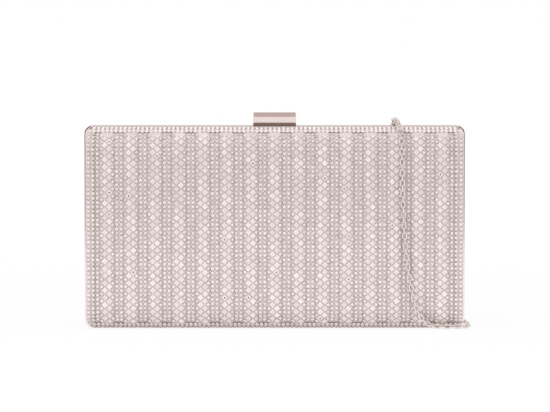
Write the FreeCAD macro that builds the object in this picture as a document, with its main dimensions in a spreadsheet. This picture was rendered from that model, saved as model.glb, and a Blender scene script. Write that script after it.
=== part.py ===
"""Minaudiere: a hard box clutch bag with a crystal-mesh cover, a metal frame and a wrist chain.

Millimetres.  X runs along the bag, the front face looks towards -Y and Z is up.  The origin is under
the middle of the bag on the surface it stands on, in the plane where the two halves meet.
"""
import FreeCAD, Part
import math
import os
import re

import Sketcher

FRONT = -1
REAR = 1
KNUCKLES = 9
SPRING_TURNS = 4
STRIPES = 15

# Share of the shorter run that each arc of the chain takes up.
ARC_SHARE = 0.45

# Rough outline that a sketch starts from, before its limits are bound to the sizes.
ROUGH_OUTLINE = [(-50, 1), (50, 1), (50, 90), (-50, 90)]

SIZES = {
    "case_width": (212.0, "frame, outside, left to right"),
    "case_height": (113.0, "frame, outside, bottom to top"),
    "half_depth": (22.5, "from the parting plane to the stones of the face"),
    "frame_corner": (5.0, "outside corner radius of the frame"),
    "frame_depth": (8.5, "depth of each frame half from the parting plane"),
    "frame_wall": (1.0, "sheet of the frame band"),
    "frame_lip": (1.0, "thickness of the lip that holds the shell at the sides"),
    "frame_edge": (0.7, "bevel of the frame's outer edge"),
    "parting_gap": (0.3, "gap between the closed halves"),
    "side_margin": (1.7, "frame shown beside the cover"),
    "top_margin": (0.9, "frame shown above the cover"),
    "foot_margin": (0.2, "cover above the base, in front of the frame"),
    "cover_fit": (0.2, "gap between cover or shell and frame"),
    "cover_sheet": (1.8, "mesh with its stones"),
    "glue_gap": (0.1, "glue line under mesh and lining"),
    "roll_radius": (12.0, "roll of the face into top and bottom"),
    "edge_band": (11.76, "end of the cover to the middle of the first stripe of studs"),
    "stripe_half": (4.2, "half width of a raised stripe of studs"),
    "stripe_rise": (0.5, "stripes of studs above the round stones between them"),
    "border_width": (2.8, "height of the border strip below the top of the cover"),
    "border_seam": (0.1, "seam between face mesh and border strip"),
    "shell_wall": (1.5, "moulded shell"),
    "collar_sheet": (0.8, "shell collar held behind the frame lip"),
    "inner_round": (3.0, "inside corner radius of the shell"),
    "lining_sheet": (0.6, "lining board and cloth"),
    "lining_fit": (0.4, "gap between lining flange and frame"),
    "pocket_width": (96.0, "slip pocket, left to right"),
    "pocket_bottom": (18.0, "lower edge of the slip pocket"),
    "pocket_top": (74.0, "upper edge of the slip pocket"),
    "pocket_corner": (8.0, "corner radius of the slip pocket"),
    "hinge_height": (2.2, "hinge axis above the base"),
    "hinge_length": (200.0, "row of knuckles"),
    "barrel_radius": (1.8, "outside of the knuckles"),
    "pin_radius": (1.0, "hinge pin"),
    "pin_play": (0.05, "radial play of pins and stems in their bores"),
    "knuckle_gap": (0.4, "gap between knuckles"),
    "slot_reach": (2.6, "half width of the slot under the knuckles"),
    "slot_rise": (2.4, "top of the slot at the corners"),
    "leaf_sheet": (0.7, "hinge leaf"),
    "leaf_reach": (5.6, "hinge leaf, from the parting plane"),
    "leaf_gap": (0.2, "leaf stands back from the edge of the slot"),
    "clasp_width": (23.8, "press bar, left to right"),
    "clasp_depth": (9.0, "press bar, front to back"),
    "clasp_tall": (6.0, "press bar, height"),
    "clasp_gap": (1.2, "under the press bar at rest"),
    "clasp_bevel": (2.5, "bevel along the upper edges of the press bar"),
    "clasp_under": (0.3, "long lower edges of the press bar"),
    "clasp_edge": (0.5, "ends of the press bar"),
    "guard_seat": (2.2, "guard strip on the frame, in from the frame's face"),
    "guard_sheet": (0.8, "guard strip in front of the frame's edge"),
    "guard_rise": (0.1, "guard strip above the underside of the press bar"),
    "guard_bevel": (0.9, "bevel along the upper edge of the guard strip"),
    "stem_radius": (1.2, "stems under the press bar"),
    "stem_spread": (7.0, "stems either side of the middle"),
    "stem_back": (3.2, "stems behind the parting plane"),
    "stem_socket": (2.0, "stem let into the press bar"),
    "stem_tail": (0.8, "stem below the cage floor"),
    "bush_radius": (2.0, "bush in the frame"),
    "bush_flange": (2.6, "flange of the bush"),
    "bush_sheet": (0.8, "flange thickness of the bush"),
    "cage_reach": (12.0, "half width of the clasp cage"),
    "cage_drop": (9.8, "cage floor below the frame band"),
    "cage_sheet": (0.8, "cage strip thickness"),
    "cage_width": (4.0, "cage strip width"),
    "cage_foot": (4.0, "cage feet under the frame band"),
    "rivet_radius": (0.8, "rivet shank"),
    "rivet_head": (1.4, "rivet head"),
    "rivet_rise": (0.5, "rivet head height"),
    "spring_wire": (0.2, "radius of the spring wire"),
    "spring_radius": (1.75, "mean radius of the return springs"),
    "spring_tall": (4.0, "return springs at rest"),
    "latch_sheet": (0.8, "latch plate"),
    "latch_reach": (9.5, "half width of the latch plate"),
    "latch_width": (3.6, "latch plate, front to back"),
    "hook_half": (3.5, "half width of the latch hook"),
    "hook_near": (3.3, "inner face of the hook tip, in front of the parting plane"),
    "hook_sheet": (0.9, "hook tip thickness"),
    "hook_rise": (2.5, "hook tip above the latch plate"),
    "striker_half": (7.0, "half width of the striker flange"),
    "striker_lip_half": (4.5, "half width of the striker lip"),
    "striker_gap": (0.3, "hook tip to striker lip"),
    "striker_sheet": (0.8, "striker strip"),
    "striker_reach": (3.6, "striker flange, front to back"),
    "striker_drop": (2.4, "striker lip below the frame band"),
    "striker_rivets": (5.5, "striker rivets either side of the middle"),
    "chain_place": (66.0, "chain notch, right of the middle"),
    "notch_half": (2.3, "half width of the chain notch"),
    "notch_reach": (5.4, "chain notch, from the parting plane"),
    "chain_back": (3.2, "chain pin from the parting plane"),
    "ear_inside": (2.8, "inner face of the ears, from the notch middle"),
    "ear_sheet": (1.0, "ear thickness"),
    "ear_near": (1.0, "ears start from the parting plane"),
    "ear_far": (5.6, "ears end from the parting plane"),
    "ear_drop": (6.6, "ears below the frame band"),
    "chain_pin": (0.75, "radius of the chain pin"),
    "chain_pin_drop": (5.2, "chain pin below the frame band"),
    "chain_pin_end": (0.4, "chain pin outside the ears"),
    "ring_radius": (2.0, "mean radius of the end ring"),
    "ring_wire": (0.45, "radius of the ring's wire"),
    "ring_gap": (0.05, "end ring to its pin"),
    "chain_radius": (1.5, "half the width of the chain"),
    "overcut": (1.0, "how far a cut runs past what it cuts"),
}

# Centre line of the chain from the notch over the front, down the face and round the right corner.
FRONT_ROUTE = [
    (66.0, -3.2, 110.4),
    (66.3, -3.7, 115.8),
    (67.4, -8.6, 116.5),
    (68.5, -15.0, 114.7),
    (69.4, -21.4, 110.6),
    (69.9, -25.0, 103.6),
    (70.2, -24.5, 92.0),
    (70.5, -24.4, 77.0),
    (71.2, -24.5, 58.0),
    (72.2, -24.4, 44.0),
    (73.8, -24.5, 32.0),
    (75.9, -24.8, 20.5),
    (78.2, -24.9, 12.2),
    (80.9, -24.0, 6.8),
    (84.4, -21.9, 3.2),
    (89.0, -20.0, 1.7),
    (94.4, -19.9, 1.7),
    (99.8, -20.1, 1.7),
    (105.3, -19.5, 1.7),
    (108.1, -13.8, 1.7),
    (108.1, -7.4, 1.7),
    (107.9, -2.2, 1.7),
]

# The other leg goes over the back, down the rear face and round the same corner.
REAR_ROUTE = [
    (66.0, 3.2, 110.4),
    (66.3, 3.7, 115.7),
    (67.3, 8.7, 116.4),
    (68.2, 15.1, 114.6),
    (68.8, 21.5, 110.5),
    (69.1, 25.0, 103.5),
    (69.3, 24.5, 91.0),
    (69.6, 24.4, 75.0),
    (70.3, 24.5, 57.0),
    (71.4, 24.4, 42.0),
    (73.0, 24.5, 29.0),
    (74.8, 24.8, 18.5),
    (76.8, 24.9, 11.4),
    (79.4, 23.9, 6.4),
    (83.2, 21.9, 3.1),
    (88.2, 20.0, 1.7),
    (93.8, 20.0, 1.7),
    (99.6, 20.1, 1.7),
    (105.3, 19.5, 1.7),
    (108.1, 13.8, 1.7),
    (108.1, 7.4, 1.7),
    (107.9, 2.2, 1.7),
]

document = FreeCAD.newDocument("minaudiere")
sheet = document.addObject("Spreadsheet::Sheet", "Sizes")
nodes = []


def fill_sheet():
    """Write each driving size in a row of its own, with its name as the alias."""
    for row, (name, (number, note)) in enumerate(SIZES.items(), 1):
        sheet.set(f"A{row}", name)
        sheet.set(f"B{row}", str(number))
        sheet.setAlias(f"B{row}", name)
        sheet.set(f"C{row}", note)
    document.recompute()


def sized(text):
    """Turn an expression of size names into one that reads the sheet's cells."""
    return re.sub(r"[a-z_]+", lambda word: f"Sizes.{word[0]}" if word[0] in SIZES else word[0], text)


def bind(thing, **expressions):
    """Bind properties to expressions of size names; a double underscore stands for a dot."""
    for prop, text in expressions.items():
        thing.setExpression(prop.replace("__", "."), sized(text))
    return thing


def node(thing, label):
    """Keep an object as a finished piece of the bag."""
    thing.Label = label
    nodes.append(thing)
    return thing


def across(side, near, far):
    """Limits along Y of a span measured from the parting plane into one half."""
    if side == FRONT:
        return (f"-({far})", f"-({near})")
    return (near, far)


def box(name, x, y, z):
    """Box between two limits on each axis."""
    thing = document.addObject("Part::Box", name)
    bind(thing, Length=f"({x[1]}) - ({x[0]})", Width=f"({y[1]}) - ({y[0]})", Height=f"({z[1]}) - ({z[0]})")
    bind(thing, Placement__Base__x=x[0], Placement__Base__y=y[0], Placement__Base__z=z[0])
    return thing


def rod(name, axis, radius, span, **centre):
    """Cylinder along X or Z between two limits, with its axis at the given place."""
    thing = document.addObject("Part::Cylinder", name)
    if axis == "x":
        thing.Placement.Rotation = FreeCAD.Rotation(FreeCAD.Vector(0, 1, 0), 90)
    bind(thing, Radius=radius, Height=f"({span[1]}) - ({span[0]})")
    places = dict(centre)
    places[axis] = span[0]
    for letter, text in places.items():
        thing.setExpression(f"Placement.Base.{letter}", sized(text))
    return thing


def fuse(name, *things):
    """One solid out of several."""
    thing = document.addObject("Part::MultiFuse", name)
    thing.Shapes = list(things)
    thing.Refine = True
    return thing


def cut(name, base, *tools):
    """The base with every tool taken away."""
    thing = document.addObject("Part::Cut", name)
    thing.Base = base
    thing.Tool = tools[0] if len(tools) == 1 else fuse(f"{name}_tools", *tools)
    thing.Refine = True
    return thing


def common(name, *things):
    """What several solids share."""
    thing = document.addObject("Part::MultiCommon", name)
    thing.Shapes = list(things)
    thing.Refine = True
    document.recompute()
    return thing


def group(name, *things):
    """Like pieces kept together as separate solids."""
    thing = document.addObject("Part::Compound", name)
    thing.Links = list(things)
    return thing


def edges(feature, wanted):
    """Names of a feature's edges that a test on their bounding box accepts."""
    return [f"Edge{n}" for n, edge in enumerate(feature.Shape.Edges, 1) if wanted(edge.BoundBox)]


def round_edges(body, name, wanted, radius):
    """Fillet the chosen edges of a body's last feature."""
    document.recompute()
    base = body.Tip
    fillet = body.newObject("PartDesign::Fillet", name)
    fillet.Base = (base, edges(base, wanted))
    bind(fillet, Radius=radius)
    document.recompute()
    return fillet


def bevel_edges(body, name, wanted, size):
    """Chamfer the chosen edges of a body's last feature."""
    document.recompute()
    base = body.Tip
    chamfer = body.newObject("PartDesign::Chamfer", name)
    chamfer.Base = (base, edges(base, wanted))
    bind(chamfer, Size=size)
    document.recompute()
    return chamfer


def upright(name, side, half_width, bottom, top, near, far):
    """Body with a rectangle in the XZ plane padded from near to far into one half."""
    body = document.addObject("PartDesign::Body", name)
    plane = next(item for item in body.Origin.OriginFeatures if item.Role == "XZ_Plane")
    sketch = body.newObject("Sketcher::SketchObject", f"{name}_outline")
    sketch.AttachmentSupport = [(plane, "")]
    sketch.MapMode = "FlatFace"
    corners = ROUGH_OUTLINE
    left, right = f"-({half_width})", half_width
    limits = [(left, bottom), (right, bottom), (right, top), (left, top)]
    for start, end in zip(corners, corners[1:] + corners[:1]):
        line = Part.LineSegment(FreeCAD.Vector(*start, 0), FreeCAD.Vector(*end, 0))
        sketch.addGeometry(line, False)
    for index in range(4):
        sketch.addConstraint(Sketcher.Constraint("Coincident", index, 2, (index + 1) % 4, 1))
    for index, (place, texts) in enumerate(zip(corners, limits)):
        for kind, number, text in zip(("DistanceX", "DistanceY"), place, texts):
            row = sketch.addConstraint(Sketcher.Constraint(kind, -1, 1, index, 1, float(number)))
            sketch.setExpression(f"Constraints[{row}]", sized(text))
    bind(sketch, AttachmentOffset__Base__z=near if side == FRONT else f"-({near})")
    pad = body.newObject("PartDesign::Pad", f"{name}_pad")
    pad.Profile = sketch
    pad.Reversed = side == REAR
    bind(pad, Length=f"({far}) - ({near})")
    document.recompute()
    return body


def slab(name, side, half_width, bottom, top, near, far, corner):
    """Upright plate with rounded corners."""
    body = upright(name, side, half_width, bottom, top, near, far)
    round_edges(body, f"{name}_corners", lambda b: b.YLength > 0.01 and b.XLength + b.ZLength < 0.01, corner)
    return body


def tray(name, side, near, inset, corner):
    """Solid block of one half: face rolled into top and bottom, corners rounded, all inset from the cover.

    The roll starts no deeper than the frame.
    """
    limits = (
        f"case_width / 2 - side_margin - ({inset})",
        f"foot_margin + ({inset})",
        f"case_height - top_margin - ({inset})",
        near,
        f"half_depth - ({inset})",
    )
    body = upright(f"{name}_rolled", side, *limits)
    block = body.Shape.BoundBox
    face = block.YMin if side == FRONT else block.YMax

    def along_face(b):
        return b.XLength > 1 and abs(b.YMin - face) < 0.01 and b.YLength < 0.01

    roll = "min(roll_radius; half_depth - frame_depth)"
    round_edges(body, f"{name}_roll", along_face, f"{roll} - ({inset})")
    plate = slab(f"{name}_plate", side, *limits, corner)
    return common(name, body, plate)


def side_name(side):
    return "front" if side == FRONT else "rear"


def chain_notch(name, side):
    """Gap in the frame band where the chain comes out."""
    return box(
        name,
        ("chain_place - notch_half", "chain_place + notch_half"),
        across(side, "-parting_gap", "notch_reach"),
        ("case_height - 2 * frame_wall", "case_height + frame_wall"),
    )


def make_frame(side, holes):
    """Half of the metal frame: a band with a lip at each side, slotted below for the hinge."""
    name = side_name(side)
    band = slab(
        f"{name}_band", side, "case_width / 2", "0", "case_height",
        "parting_gap / 2", "frame_depth", "frame_corner",
    )
    outer = band.Shape.BoundBox
    face = outer.YMin if side == FRONT else outer.YMax

    def on_the_face(b):
        return b.YLength < 0.01 and abs(b.YMin - face) < 0.01

    bevel_edges(band, f"{name}_band_edge", on_the_face, "frame_edge")
    inside = slab(
        f"{name}_inside", side, "case_width / 2 - frame_wall", "frame_wall", "case_height - frame_wall",
        "-parting_gap", "frame_depth - frame_lip", "frame_corner - frame_wall",
    )
    opening = slab(
        f"{name}_opening", side, "case_width / 2 - side_margin + cover_fit",
        "foot_margin - cover_fit", "case_height - top_margin + cover_fit",
        "frame_depth - frame_lip", "frame_depth + frame_lip", "frame_corner - top_margin + cover_fit",
    )
    foot_room = box(
        f"{name}_foot_room", ("frame_corner - case_width / 2", "case_width / 2 - frame_corner"),
        across(side, "frame_depth - frame_lip", "frame_depth + frame_lip"), ("-frame_wall", "2 * frame_wall"),
    )
    slot = box(
        f"{name}_slot", ("-case_width", "case_width"), across(side, "-parting_gap", "slot_reach"),
        ("-frame_wall", "slot_rise"),
    )
    tools = [inside, opening, foot_room, slot, chain_notch(f"{name}_notch", side)] + holes
    return node(cut(f"{name}_frame_cut", band, *tools), f"{name}_frame")


def make_shell(side):
    """Moulded tray with a collar that sits behind the frame lip."""
    name = side_name(side)
    near = "frame_depth - frame_lip - cover_fit / 2 - collar_sheet"
    outside = tray(
        f"{name}_shell_block", side, near, "cover_sheet + glue_gap",
        "frame_corner - top_margin - cover_sheet - glue_gap",
    )
    collar = slab(
        f"{name}_collar", side, "case_width / 2 - frame_wall - cover_fit", "frame_wall + cover_fit",
        "case_height - frame_wall - cover_fit", near, f"{near} + collar_sheet",
        "frame_corner - frame_wall - cover_fit",
    )
    cavity = tray(
        f"{name}_cavity", side, f"{near} - overcut", "cover_sheet + glue_gap + shell_wall", "inner_round"
    )
    node(cut(f"{name}_shell_cut", fuse(f"{name}_shell_solid", outside, collar), cavity), f"{name}_shell")


def stripe_valleys(side, near, seam):
    """The lower bands of round stones between the raised stripes of studs, down the face and its rolls."""
    name = side_name(side)
    corner = "frame_corner - top_margin"
    upper = tray(f"{name}_stripe_tops", side, near, "0", corner)
    lower = tray(f"{name}_stripe_feet", side, f"{near} - overcut", "stripe_rise", f"{corner} - stripe_rise")
    layer = cut(f"{name}_stripe_layer", upper, lower)
    end = "(case_width / 2 - side_margin)"
    pitch = f"(2 * ({end} - edge_band) / {STRIPES - 1})"
    middles = [f"({end} - edge_band - {pitch} * {place})" for place in range(STRIPES)]
    spans = [(f"{low} + stripe_half", f"{high} - stripe_half") for high, low in zip(middles, middles[1:])]
    spans.append((f"{end} - edge_band + stripe_half", f"{end} - ({corner})"))
    spans.append((f"({corner}) - {end}", f"edge_band - stripe_half - {end}"))
    deep = across(side, "0", "2 * half_depth")
    bands = [box(f"{name}_band_of_rounds", span, deep, ("-case_height", seam)) for span in spans]
    return common(f"{name}_stripe_valleys", layer, group(f"{name}_bands_of_rounds", *bands))


def make_cover(side):
    """Stone mesh over the shell: the striped face and the border strip along the top edge."""
    name = side_name(side)
    near = "frame_depth - frame_lip + cover_fit / 2"
    outside = tray(f"{name}_mesh_block", side, near, "0", "frame_corner - top_margin")
    inside = tray(
        f"{name}_mesh_core", side, f"{near} - overcut", "cover_sheet",
        "frame_corner - top_margin - cover_sheet",
    )
    skin = cut(f"{name}_mesh_skin", outside, inside)
    seam = "case_height - top_margin - border_width"
    wide = ("-case_width", "case_width")
    deep = across(side, "0", "2 * half_depth")
    above = box(f"{name}_above_seam", wide, deep, (seam, "2 * case_height"))
    below = box(f"{name}_below_seam", wide, deep, ("-case_height", f"{seam} + border_seam"))
    valleys = stripe_valleys(side, near, seam)
    node(cut(f"{name}_face_cut", skin, above, valleys), f"{name}_crystal_face")
    node(cut(f"{name}_border_cut", skin, below), f"{name}_crystal_border")


def make_lining(side):
    """Lined tray inside the shell, with a flange over the collar."""
    name = side_name(side)
    inset = "cover_sheet + glue_gap + shell_wall + glue_gap"
    near = "frame_depth - frame_lip - cover_fit / 2 - collar_sheet - glue_gap / 2 - lining_sheet"
    outside = tray(f"{name}_lining_block", side, near, inset, "inner_round - glue_gap")
    flange = slab(
        f"{name}_lining_flange", side, "case_width / 2 - frame_wall - lining_fit", "frame_wall + lining_fit",
        "case_height - frame_wall - lining_fit", near, f"{near} + lining_sheet",
        "frame_corner - frame_wall - lining_fit",
    )
    hollow = tray(
        f"{name}_lining_hollow", side, f"{near} - overcut", f"{inset} + lining_sheet",
        "inner_round - glue_gap - lining_sheet",
    )
    node(cut(f"{name}_lining_cut", fuse(f"{name}_lining_solid", outside, flange), hollow), f"{name}_lining")


def make_pocket():
    """Slip pocket sewn on the rear lining."""
    far = "half_depth - cover_sheet - 2 * glue_gap - shell_wall - lining_sheet - glue_gap / 2"
    pocket = slab(
        "pocket_panel", REAR, "pocket_width / 2", "pocket_bottom", "pocket_top", f"{far} - lining_sheet", far,
        "pocket_corner",
    )
    node(pocket, "rear_pocket")


def make_hinge():
    """Long hinge: two leaves on the frame bottoms, their knuckles in turn along one pin."""
    pitch = f"hinge_length / {KNUCKLES}"
    long = ("-hinge_length / 2", "hinge_length / 2")
    for side in (REAR, FRONT):
        name = side_name(side)
        low = ("frame_wall", "frame_wall + leaf_sheet")
        pieces = [box(f"{name}_leaf", long, across(side, "slot_reach + leaf_gap", "leaf_reach"), low)]
        first = 0 if side == REAR else 1
        for place in range(first, KNUCKLES, 2):
            span = (
                f"{pitch} * {place} - hinge_length / 2 + knuckle_gap / 2",
                f"{pitch} * {place + 1} - hinge_length / 2 - knuckle_gap / 2",
            )
            barrel = rod(f"{name}_knuckle", "x", "barrel_radius", span, y="0", z="hinge_height")
            tab = box(f"{name}_tab", span, across(side, "0", "slot_reach + 2 * leaf_gap"), low)
            pieces += [barrel, tab]
        bore = rod(f"{name}_bore", "x", "pin_radius + pin_play", ("-hinge_length", "hinge_length"),
                   y="0", z="hinge_height")
        node(cut(f"{name}_leaf_cut", fuse(f"{name}_leaf_solid", *pieces), bore), f"{name}_hinge_leaf")
    pin = rod("pin_rod", "x", "pin_radius", long, y="0", z="hinge_height")
    node(pin, "hinge_pin")


def stem_rods(name, radius, span):
    """A pair of rods at the places of the two stems."""
    return [
        rod(f"{name}_{letter}", "z", radius, span, x=place, y="stem_back")
        for letter, place in (("left", "-stem_spread"), ("right", "stem_spread"))
    ]


def rivet_pair(name, place, back, wall, sheet_under):
    """Two rivets from a head below a strip, through the strip and flush with the top of the frame."""
    solids = []
    for letter, sign in (("left", "-"), ("right", "")):
        under = f"{wall} - ({sheet_under})"
        spot = {"x": f"{sign}{place}", "y": back}
        shank = rod(f"{name}_shank_{letter}", "z", "rivet_radius", (under, "case_height"), **spot)
        head = rod(f"{name}_head_{letter}", "z", "rivet_head", (f"{under} - rivet_rise", under), **spot)
        solids.append(fuse(f"{name}_{letter}", shank, head))
    return group(f"{name}_pair", *solids)


def rivet_holes(name, place, back):
    """Holes for a pair of rivets through frame and strip."""
    bottom = "case_height - frame_wall - cage_sheet - striker_sheet"
    return [
        rod(f"{name}_{letter}", "z", "rivet_radius + pin_play", (bottom, "case_height + overcut"),
            x=f"{sign}{place}", y=back)
        for letter, sign in (("left", "-"), ("right", ""))
    ]


def make_clasp():
    """Press bar on two sprung stems, a guard strip before it, and a latch that hooks the front's striker."""
    band = "case_height - frame_wall"
    bar_low = "case_height + clasp_gap"
    bar_high = f"{bar_low} + clasp_tall"
    bar = upright(
        "press_bar", REAR, "clasp_width / 2", bar_low, bar_high, "-clasp_depth / 2", "clasp_depth / 2"
    )
    block = bar.Shape.BoundBox

    def along_the_top(b):
        return b.XLength > 1 and b.YLength < 0.01 and abs(b.ZMin - block.ZMax) < 0.01

    def round_an_end(b):
        return b.XLength < 0.01 and b.ZMax > block.ZMin + 0.01

    def along_the_bottom(b):
        return b.XLength > 1 and b.YLength < 0.01 and abs(b.ZMax - block.ZMin) < 0.01

    bevel_edges(bar, "press_bar_top", along_the_top, "clasp_bevel")
    round_edges(bar, "press_bar_under", along_the_bottom, "clasp_under")
    round_edges(bar, "press_bar_ends", round_an_end, "clasp_edge")
    sockets = stem_rods("stem_socket", "stem_radius + pin_play", ("case_height", f"{bar_low} + stem_socket"))
    node(cut("press_bar_cut", bar, *sockets), "clasp_bar")

    guard = upright(
        "guard_strip", FRONT, "clasp_width / 2", "case_height - top_margin + cover_fit",
        f"{bar_low} + guard_rise", "frame_depth - guard_seat", "frame_depth + guard_sheet",
    )
    strip = guard.Shape.BoundBox

    def along_the_strip(b):
        return b.XLength > 1 and abs(b.ZMin - strip.ZMax) < 0.01 and abs(b.YMax - strip.YMin) < 0.01

    bevel_edges(guard, "guard_strip_bevel", along_the_strip, "guard_bevel")
    seat = box(
        "guard_strip_seat", ("-clasp_width", "clasp_width"),
        across(FRONT, "0", "frame_depth + cover_fit / 2"), ("0", "case_height"),
    )
    node(cut("guard_strip_cut", guard, seat), "clasp_guard")

    floor = f"{band} - cage_drop"
    stems = stem_rods("stem", "stem_radius", (f"{floor} - stem_tail", f"{bar_low} + stem_socket"))
    node(group("stem_pair", *stems), "clasp_stems")

    bushes = []
    bore_span = (f"{band} - bush_sheet - overcut", "case_height + overcut")
    for letter, sign in (("left", "-"), ("right", "")):
        place = {"x": f"{sign}stem_spread", "y": "stem_back"}
        low = f"{band} - bush_sheet"
        tube = rod(f"bush_tube_{letter}", "z", "bush_radius", (low, "case_height"), **place)
        flange = rod(f"bush_flange_{letter}", "z", "bush_flange", (low, band), **place)
        bore = rod(f"bush_bore_{letter}", "z", "stem_radius + pin_play", bore_span, **place)
        bushes.append(cut(f"bush_{letter}", fuse(f"bush_solid_{letter}", tube, flange), bore))
    node(group("bush_pair", *bushes), "clasp_bushes")

    wide = ("stem_back - cage_width / 2", "stem_back + cage_width / 2")
    base = box("cage_floor", ("-cage_reach", "cage_reach"), wide, (floor, f"{floor} + cage_sheet"))
    pieces = [base]
    inner, outer, toe = "cage_reach - cage_sheet", "cage_reach", "cage_reach + cage_foot"
    for letter, leg, foot in (
        ("left", (f"-({outer})", f"-({inner})"), (f"-({toe})", f"-({inner})")),
        ("right", (inner, outer), (inner, toe)),
    ):
        pieces.append(box(f"cage_leg_{letter}", leg, wide, (floor, band)))
        pieces.append(box(f"cage_foot_{letter}", foot, wide, (f"{band} - cage_sheet", band)))
    bore = "stem_radius + pin_play"
    guides = stem_rods("cage_guide", bore, (f"{floor} - overcut", f"{floor} + 2 * cage_sheet"))
    cage_rivet = "(cage_reach + cage_foot / 2)"
    holes = rivet_holes("cage_hole", cage_rivet, "stem_back")
    node(cut("cage_cut", fuse("cage_solid", *pieces), *guides, *holes), "clasp_cage")
    node(rivet_pair("cage_rivet", cage_rivet, "stem_back", band, "cage_sheet"), "cage_rivets")

    plate_low = f"{floor} + cage_sheet + spring_tall"
    plate_high = f"{plate_low} + latch_sheet"
    tip = ("-hook_near - hook_sheet", "-hook_near")
    plate = box("latch_base", ("-latch_reach", "latch_reach"),
                ("stem_back - latch_width / 2", "stem_back + latch_width / 2"), (plate_low, plate_high))
    arm = box("latch_arm", ("-hook_half", "hook_half"), (tip[0], "stem_back"), (plate_low, plate_high))
    hook = box("latch_tip", ("-hook_half", "hook_half"), tip, (plate_low, f"{plate_high} + hook_rise"))
    eyes = stem_rods("latch_eye", bore, (f"{plate_low} - overcut", f"{plate_high} + overcut"))
    node(cut("latch_cut", fuse("latch_solid", plate, arm, hook), *eyes), "clasp_latch_plate")

    lip = ("-hook_near + striker_gap", "-hook_near + striker_gap + striker_sheet")
    flange = box("striker_flange", ("-striker_half", "striker_half"), (f"{lip[1]} - striker_reach", lip[1]),
                 (f"{band} - striker_sheet", band))
    lip_wide = ("-striker_lip_half", "striker_lip_half")
    catch = box("striker_lip", lip_wide, lip, (f"{band} - striker_drop", band))
    striker_back = "-hook_near + striker_gap + striker_sheet - striker_reach + rivet_head"
    holes = rivet_holes("striker_hole", "striker_rivets", striker_back)
    node(cut("striker_cut", fuse("striker_solid", flange, catch), *holes), "clasp_striker")
    node(rivet_pair("striker_rivet", "striker_rivets", striker_back, band, "striker_sheet"), "striker_rivets")

    front_holes = rivet_holes("front_frame_hole", "striker_rivets", striker_back)
    rear_holes = rivet_holes("rear_frame_hole", cage_rivet, "stem_back")
    through = ("case_height - 2 * frame_wall", "case_height + overcut")
    rear_holes += stem_rods("bush_hole", "bush_radius + pin_play", through)
    return front_holes, rear_holes


def arc_between(start, heading, end):
    """Arc that leaves a point along a heading and reaches another point, with its radius."""
    chord = end - start
    aside = chord - heading * chord.dot(heading)
    if aside.Length < 1e-6:
        return Part.LineSegment(start, end).toShape(), math.inf
    radius = chord.Length ** 2 / (2 * aside.Length)
    centre = start + aside * (radius / aside.Length)
    middle = (start + end) * 0.5 - centre
    middle = centre + middle * (radius / middle.Length)
    return Part.Arc(start, middle, end).toShape(), radius


def biarc(start, heading, end, arrival):
    """Two arcs that join two points with given headings."""
    chord = end - start
    both = heading + arrival
    spread = 2 * (1 - heading.dot(arrival))
    along = chord.dot(both)
    reach = (math.sqrt(along ** 2 + spread * chord.dot(chord)) - along) / spread
    joint = (start + heading * reach + end - arrival * reach) * 0.5
    first, radius_in = arc_between(start, heading, joint)
    back, radius_out = arc_between(end, arrival * -1, joint)
    return [first, back], min(radius_in, radius_out)


def tube(path, start, heading, radius):
    """Round tube along a wire that starts at a point with a heading."""
    ring = Part.Wire(Part.Circle(start, heading, radius).toShape())
    return path.makePipeShell([ring], True, False)


def make_springs():
    """Return springs round the stems, between the cage floor and the latch plate."""
    wire = sheet.spring_wire
    mean = sheet.spring_radius
    low = sheet.case_height - sheet.frame_wall - sheet.cage_drop + sheet.cage_sheet + wire
    climb = (sheet.spring_tall - 2 * wire) / SPRING_TURNS
    slope = climb / (2 * math.pi)
    length = math.hypot(mean, slope)
    solids = []
    for sign in (-1, 1):
        centre = FreeCAD.Vector(sign * sheet.stem_spread, sheet.stem_back, low)
        points = []
        headings = []
        for quarter in range(4 * SPRING_TURNS + 1):
            turn = quarter * math.pi / 2
            points.append(centre + FreeCAD.Vector(mean * math.cos(turn), mean * math.sin(turn), slope * turn))
            heading = FreeCAD.Vector(-mean * math.sin(turn), mean * math.cos(turn), slope)
            headings.append(heading * (1 / length))
        arcs = []
        for i in range(4 * SPRING_TURNS):
            arcs += biarc(points[i], headings[i], points[i + 1], headings[i + 1])[0]
        path = Part.Wire(Part.__sortEdges__(arcs))
        solids.append(tube(path, points[0], headings[0], wire))
        print(f"spring: {path.Length:.1f} mm of wire, gap between turns {climb - 2 * wire:.2f} mm")
    springs = document.addObject("Part::Feature", "spring_pair")
    springs.Shape = Part.makeCompound(solids)
    node(springs, "clasp_springs")


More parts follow.
